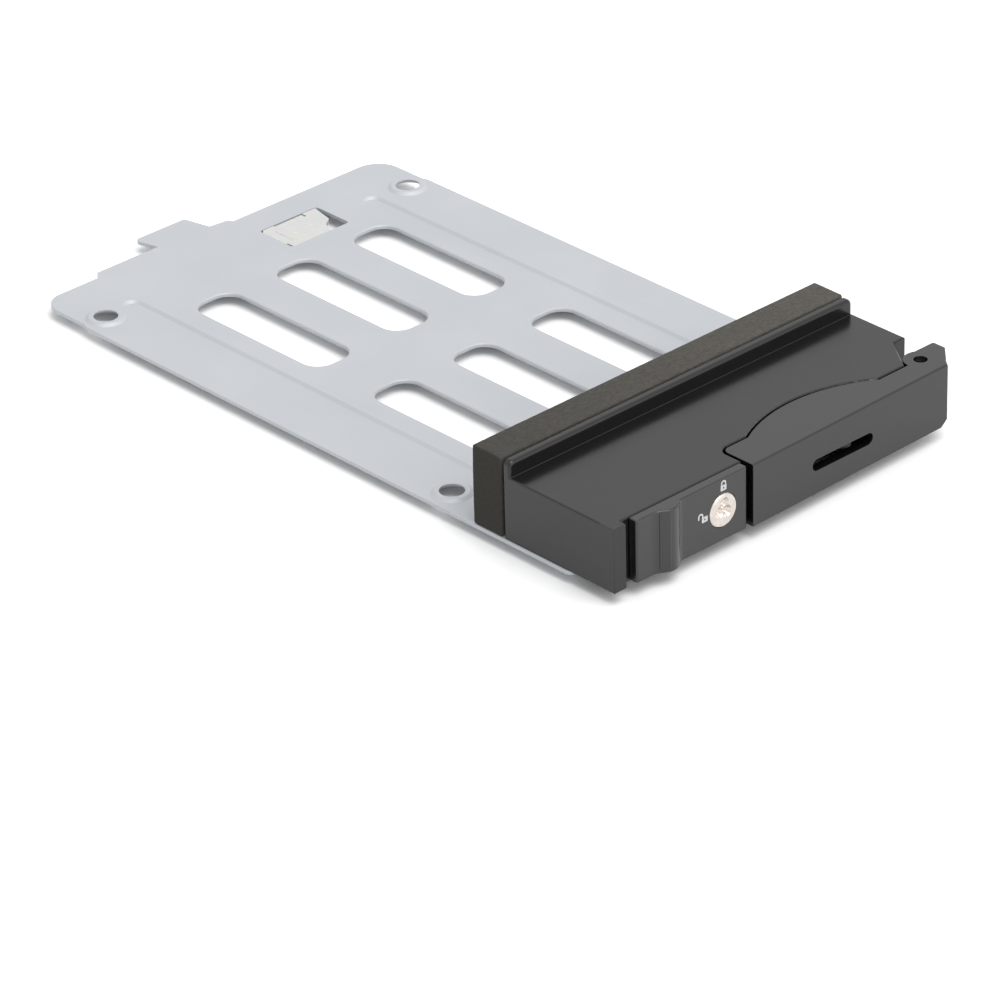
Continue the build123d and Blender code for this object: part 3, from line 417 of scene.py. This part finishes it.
def lock_material(centre):
    """Nickel-plated lock face with turning rings round its axis."""
    material, tree, shader, coords = start_material("lock_nickel")
    placed = vector_maths(tree, "SUBTRACT", coords, centre)["Vector"]
    flat = vector_maths(tree, "MULTIPLY", placed, (1, 0, 1))["Vector"]
    radius = vector_maths(tree, "LENGTH", flat)["Value"]
    rings = maths(tree, "SINE", times(tree, radius, 2 * math.pi / (LOCK_RING * MM)))
    cloud = noise_of(tree, coords, size_mm=0.9, detail=3, roughness=0.6)
    body = blend_colour(tree, remap(tree, cloud, *NOISE_SPAN), *LOCK_TONES)
    colour = rubbed(tree, body, LOCK_EDGE, reach_mm=0.12, amount=0.4)
    rough = remap(tree, cloud, *NOISE_SPAN, *LOCK_ROUGH)
    normal = bump(tree, rings, depth_mm=0.0015, normal=soft_normal(tree, radius_mm=0.12))
    surface(tree, shader, colour, rough, normal, {"Metallic": 1.0})
    return material


def tape_material():
    """Black acrylic foam tape with a fine felt surface."""
    material, tree, shader, coords = start_material("tape")
    felt = noise_of(tree, coords, size_mm=0.18, detail=3, roughness=0.7)
    rough = remap(tree, felt, *NOISE_SPAN, *TAPE_ROUGH)
    surface(tree, shader, blend_colour(tree, felt, *TAPE_TONES), rough, bump(tree, felt, depth_mm=0.03),
            {"Specular IOR Level": TAPE_SPECULAR})
    return material


def ink_material():
    """White pad-printed ink, a little thin in places."""
    material, tree, shader, coords = start_material("white_ink")
    thin = noise_of(tree, coords, size_mm=0.12, detail=3, roughness=0.7)
    colour = blend_colour(tree, remap(tree, thin, 0.30, 0.55), *INK_TONES)
    rough = remap(tree, thin, *NOISE_SPAN, *INK_ROUGH)
    surface(tree, shader, colour, rough, bump(tree, thin, depth_mm=0.004))
    return material


def dress(names, material):
    """Give CAD nodes a material."""
    for name in names:
        for slot in NODES[name].material_slots:
            slot.material = material


def link_mesh(name, mesh, material):
    """Object with a mesh and a material, added to the scene."""
    piece = bpy.data.objects.new(name, mesh)
    piece.data.materials.append(material)
    bpy.context.scene.collection.objects.link(piece)
    return piece


def box_shell(counts):
    """Vertices and faces of a box surface, cut into counts cells along each axis; corners at 0 and 1."""
    index, verts, faces = {}, [], []

    def vertex(key):
        """Number of the vertex at a grid position, made when it is first asked for."""
        if key not in index:
            index[key] = len(verts)
            verts.append(Vector([key[i] / counts[i] for i in range(3)]))
        return index[key]

    for axis in range(3):
        u, v = (axis + 1) % 3, (axis + 2) % 3
        for end in (0, counts[axis]):
            for i in range(counts[u]):
                for j in range(counts[v]):
                    corner = []
                    for di, dj in ((0, 0), (1, 0), (1, 1), (0, 1)):
                        key = [0, 0, 0]
                        key[axis], key[u], key[v] = end, i + di, j + dj
                        corner.append(vertex(tuple(key)))
                    faces.append(corner if end else corner[::-1])
    return verts, faces


def foam_strip(material):
    """Die-cut foam bar: soft edges, slightly crowned faces, a wavy top and open cells."""
    low, high = (Vector(corner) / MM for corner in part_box("foam_strip"))
    low.z -= FOAM_SINK
    size = high - low
    counts = [max(4, round(length / FOAM_CELL)) for length in size]
    verts, faces = box_shell(counts)
    placed = []
    for v in verts:
        point = Vector([low[i] + v[i] * size[i] for i in range(3)])
        top = max(0.0, min(1.0, (v.z - 0.5) * 2))
        radius = FOAM_FOOT_R + (FOAM_TOP_R - FOAM_FOOT_R) * top
        core = Vector([min(max(point[i], low[i] + radius), high[i] - radius) for i in range(3)])
        away = point - core
        normal = away.normalized() if away.length > 1e-6 else Vector((0, 0, 1))
        point = core + normal * radius
        pull = FOAM_CROWN * (2 * v.z - 1) ** 2 * abs(normal.y)
        spot = Vector((point.x * FOAM_WAVE_ALONG, point.y * FOAM_WAVE_ACROSS, FOAM_WAVE_LEVEL))
        wave = FOAM_WAVE * (0.5 + noise.noise(spot)) * abs(normal.z)
        mix = noise.noise(point * FOAM_COARSE) + FOAM_FINE_SHARE * noise.noise(point * FOAM_FINE)
        rough = FOAM_TEXTURE * (1 + mix) / 2
        cell = noise.voronoi(point * FOAM_PORE_RATE)[0][0]
        pore = FOAM_PORE * max(0.0, 1 - cell / FOAM_PORE_WIDTH)
        placed.append((point - normal * (pull + wave + rough + pore)) * MM)
    mesh = bpy.data.meshes.new("foam_bar")
    mesh.from_pydata(placed, [], faces)
    mesh.shade_smooth()
    return link_mesh("foam_bar", mesh, material)


def coil_spring(material):
    """Latch spring, whose left end is fixed, as its own piece: a copy of the model's spring, attached to the
    tray.
    """
    cad_spring = NODES["slider_spring"]
    mesh = cad_spring.data.copy()
    mesh.materials.clear()
    spring = link_mesh("coil_spring", mesh, material)
    spring.matrix_world = cad_spring.matrix_world.copy()
    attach(spring, "tray")
    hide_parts("slider_spring")
    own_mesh(spring)


def flat_outline(name, loops, front_y, thick, material):
    """Thin plate facing -Y from closed loops of (x, z) in mm: the outside first, then its holes."""
    curve = bpy.data.curves.new(name, "CURVE")
    curve.dimensions = "2D"
    curve.fill_mode = "BOTH"
    curve.extrude = thick / 2 * MM
    for loop in loops:
        spline = curve.splines.new("POLY")
        spline.points.add(len(loop) - 1)
        for spot, (x, z) in zip(spline.points, loop):
            spot.co = (x * MM, z * MM, 0, 1)
        spline.use_cyclic_u = True
    drawn = bpy.data.objects.new(name + "_curve", curve)
    mesh = bpy.data.meshes.new_from_object(drawn)
    bpy.data.objects.remove(drawn)
    bpy.data.curves.remove(curve)
    turn = Matrix(((1, 0, 0, 0), (0, 0, -1, (front_y + thick / 2) * MM), (0, 1, 0, 0), (0, 0, 0, 1)))
    mesh.transform(turn)
    mesh.name = name
    return link_mesh(name, mesh, material)


def arc(cx, cz, radius, start, end, steps=ARC_STEPS):
    """Points of an arc, in degrees."""
    turns = [math.radians(start + (end - start) * i / steps) for i in range(steps + 1)]
    return [(cx + radius * math.cos(t), cz + radius * math.sin(t)) for t in turns]


def round_box(left, right, bottom, top, radius):
    """Closed loop of a rounded rectangle."""
    inner_x, inner_z = (left + radius, right - radius), (bottom + radius, top - radius)
    corners = ((1, 1, 0), (0, 1, 90), (0, 0, 180), (1, 0, 270))
    return [point for i, j, turn in corners
            for point in arc(inner_x[i], inner_z[j], radius, turn, turn + 90, CORNER_STEPS)]


def padlock(name, centre_x, bottom, side, material, swing=0.0):
    """Printed padlock mark: a body with a key dot and a shackle; swing shifts an open shackle sideways."""
    left, right, top = centre_x - PADLOCK_W / 2, centre_x + PADLOCK_W / 2, bottom + PADLOCK_BODY_H
    dot = arc(centre_x, bottom + PADLOCK_BODY_H / 2, PADLOCK_DOT_R, 360, 0)
    body = flat_outline(name + "_body", [round_box(left, right, bottom, top, PADLOCK_CORNER), dot],
                        side, INK_T, material)
    outer = PADLOCK_W / 2 - PADLOCK_INSET
    inner = outer - PADLOCK_LINE
    hub_x, hub_z = centre_x + swing, top + PADLOCK_SHANK
    foot = top - PADLOCK_OVERLAP
    left_foot = foot if swing == 0 else hub_z - PADLOCK_SHORT_LEG
    loop = [(hub_x + outer, foot)] + arc(hub_x, hub_z, outer, 0, 180) + [(hub_x - outer, left_foot)]
    loop += [(hub_x - inner, left_foot)] + arc(hub_x, hub_z, inner, 180, 0) + [(hub_x + inner, foot)]
    shackle = flat_outline(name + "_shackle", [loop], side, INK_T, material)
    return body, shackle


def floor_material():
    """Pale floor that is white to the camera and in reflections, and keeps the shadow."""
    material, tree, shader, coords = start_material("floor")
    tree.nodes.remove(shader)
    path = node(tree, "ShaderNodeLightPath")
    mirrored = maths(tree, "MAXIMUM", path.outputs["Is Glossy Ray"], path.outputs["Is Transmission Ray"])
    grain = noise_of(tree, coords, size_mm=6, detail=2, roughness=0.5)
    plain = blend_colour(tree, grain, *FLOOR_TONES)
    unseen = blend_colour(tree, mirrored, plain, (FLOOR_MIRRORED,) * 3)
    colour = blend_colour(tree, path.outputs["Is Camera Ray"], unseen, (FLOOR_WHITE,) * 3)
    diffuse = node(tree, "ShaderNodeBsdfDiffuse", {"Color": colour})
    tree.links.new(diffuse.outputs["BSDF"], tree.nodes["Material Output"].inputs["Surface"])
    return material


def make_floor():
    """Large plain floor under the tray's beads."""
    mesh = bpy.data.meshes.new("floor")
    corners = ((-1, -1), (1, -1), (1, 1), (-1, 1))
    verts = [(x * FLOOR_HALF, y * FLOOR_HALF, cad_low[2] - FLOOR_GAP) for x, y in corners]
    mesh.from_pydata(verts, [], [(0, 1, 2, 3)])
    link_mesh("floor", mesh, floor_material())


def make_sun(name, towards, strength, angle):
    """Soft distant lamp that shines from a direction."""
    data = bpy.data.lights.new(name, "SUN")
    data.energy = strength
    data.angle = math.radians(angle)
    lamp = bpy.data.objects.new(name, data)
    lamp.rotation_mode = "QUATERNION"
    lamp.rotation_quaternion = Vector(towards).to_track_quat("Z", "Y")
    bpy.context.scene.collection.objects.link(lamp)


def make_light():
    """World light that leans to the right, white to the camera and in reflections, with a key and a fill."""
    world = bpy.data.worlds.new("studio")
    bpy.context.scene.world = world
    world.use_nodes = True
    world.cycles.sampling_method = "NONE"
    tree = world.node_tree
    path = node(tree, "ShaderNodeLightPath")
    seen = maths(tree, "MAXIMUM", path.outputs["Is Camera Ray"], path.outputs["Is Glossy Ray"])
    seen = maths(tree, "MAXIMUM", seen, path.outputs["Is Transmission Ray"])
    direction = node(tree, "ShaderNodeTexCoord").outputs["Generated"]
    sideways = node(tree, "ShaderNodeSeparateXYZ", {"Vector": direction}).outputs["X"]
    left, right = WORLD_LIGHT * (1 - WORLD_LEAN), WORLD_LIGHT * (1 + WORLD_LEAN)
    soft = remap(tree, sideways, -1.0, 1.0, left, right)
    strength = plus(tree, soft, times(tree, seen, maths(tree, "SUBTRACT", 1.0, soft)))
    tree.links.new(strength, tree.nodes["Background"].inputs["Strength"])
    tree.nodes["Background"].inputs["Color"].default_value = (1, 1, 1, 1)
    make_sun("key", KEY_FROM, KEY_STRENGTH, KEY_ANGLE)
    make_sun("fill", FILL_FROM, FILL_STRENGTH, FILL_ANGLE)


make_camera()

shell_black = paint_material("shell_black", SHELL_TONES, SHELL_IOR, SHELL_ROUND)
lever_black = paint_material("lever_black", SHELL_TONES, LEVER_IOR, MOVING_ROUND)
# The slider's black is painted lighter than the housing's, as painted light on its front
grip_black_painted_light = paint_material("grip_black_painted_light", GRIP_TONES_PAINTED_LIGHT, GRIP_IOR, MOVING_ROUND)
steel = metal_material("zinc_screw", SCREW_TONES, SCREW_ROUGH)
spring_steel = metal_material("spring_steel", SPRING_TONES, SPRING_ROUGH, grain_mm=0.3, depth_mm=0.003)
pin_steel = metal_material("pin_steel", PIN_TONES, PIN_ROUGH)
dress(["tray_plate"], sheet_material())
dress(["housing"], shell_black)
dress(["lever"], lever_black)
dress(["latch_slider"], grip_black_painted_light)
dress(["foam_tape"], tape_material())
dress(["window_clip"], plastic_material())
dress(["housing_screws", "keeper_screws", "cam_screw", "catch_rivets"], steel)
dress(["slider_keeper", "lock_cam", "lock_washer"], steel)
dress(["lever_catch", "lock_circlip", "pin_ring"], spring_steel)
coil_spring(spring_steel)
dress(["lever_pin"], pin_steel)
lock_low, lock_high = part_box("lock_cylinder")
dress(["lock_cylinder"], lock_material(tuple((Vector(lock_low) + Vector(lock_high)) / 2)))

foam = foam_strip(foam_material())
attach(foam, "tray")
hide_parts("foam_strip")

ink = ink_material()
lock_x, lock_z = ((lock_low[i] + lock_high[i]) / 2 / MM for i in (0, 2))
ink_y = lock_low[1] / MM + LOCK_PROUD - INK_T + INK_SINK
marks = padlock("mark_locked", lock_x + LOCKED_AT[0], lock_z + LOCKED_AT[1], ink_y, ink)
marks += padlock("mark_open", lock_x + OPEN_AT[0], lock_z + OPEN_AT[1], ink_y, ink, swing=PADLOCK_SWING)
for mark in marks:
    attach(mark, "slider")

make_floor()
make_light()
bpy.context.scene.view_settings.view_transform = "Standard"
